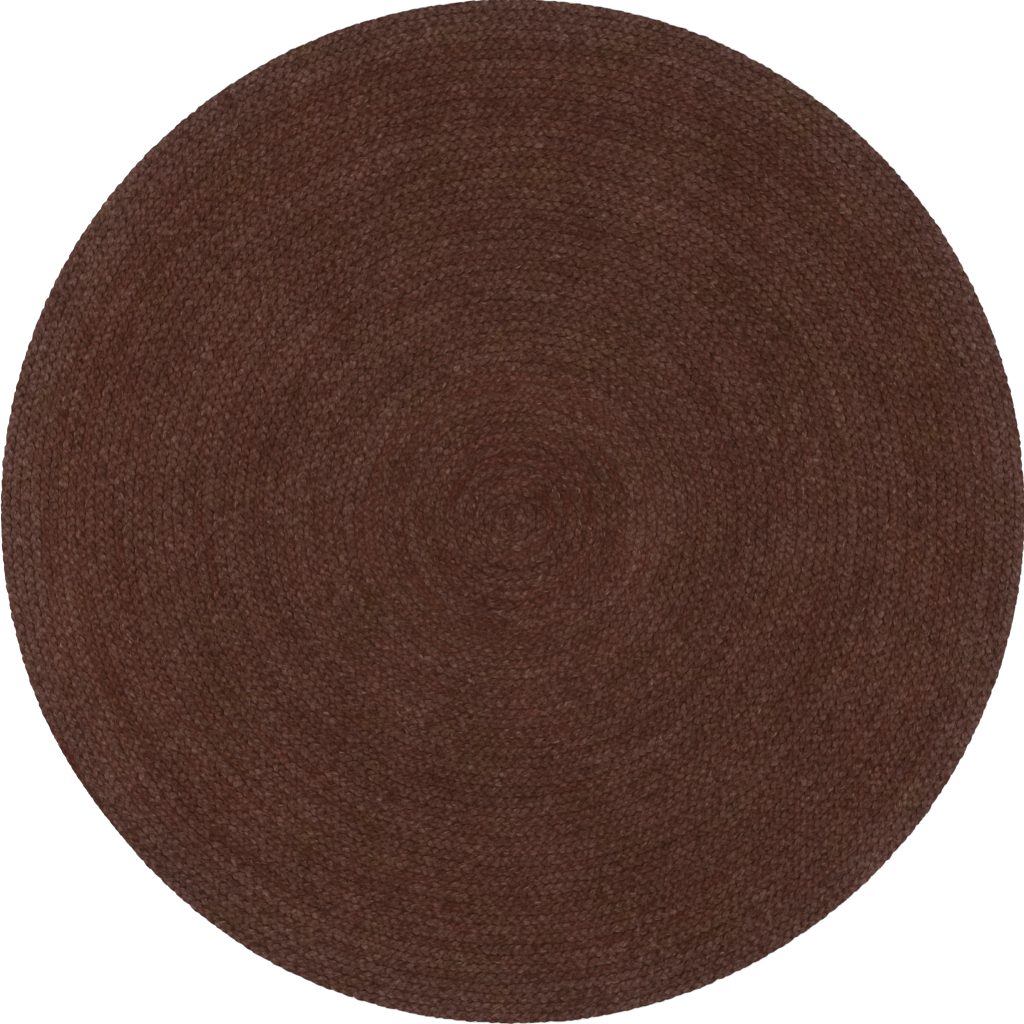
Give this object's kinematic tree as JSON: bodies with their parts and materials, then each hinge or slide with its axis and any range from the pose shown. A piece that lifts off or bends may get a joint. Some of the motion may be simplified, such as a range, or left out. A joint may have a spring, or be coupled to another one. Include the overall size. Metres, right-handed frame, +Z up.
{
  "type": "round braided jute rug",
  "caption": "Flat round floor rug of dark brown dyed jute: one three-strand braid wound in a spiral and sewn edge to edge.",
  "frame": {"origin": "middle of the rug's underside, on the floor", "axes": "+Z up, out of the rug's top; +Y is the top edge of the picture and +X its right edge"},
  "size_m": [1.8, 1.8, 0.01],
  "materials": {
    "jute": "dull dark brown dyed jute fibre, mottled"
  },
  "bodies": {
    "root": {"rug": "jute"}
  },
  "joints": []
}
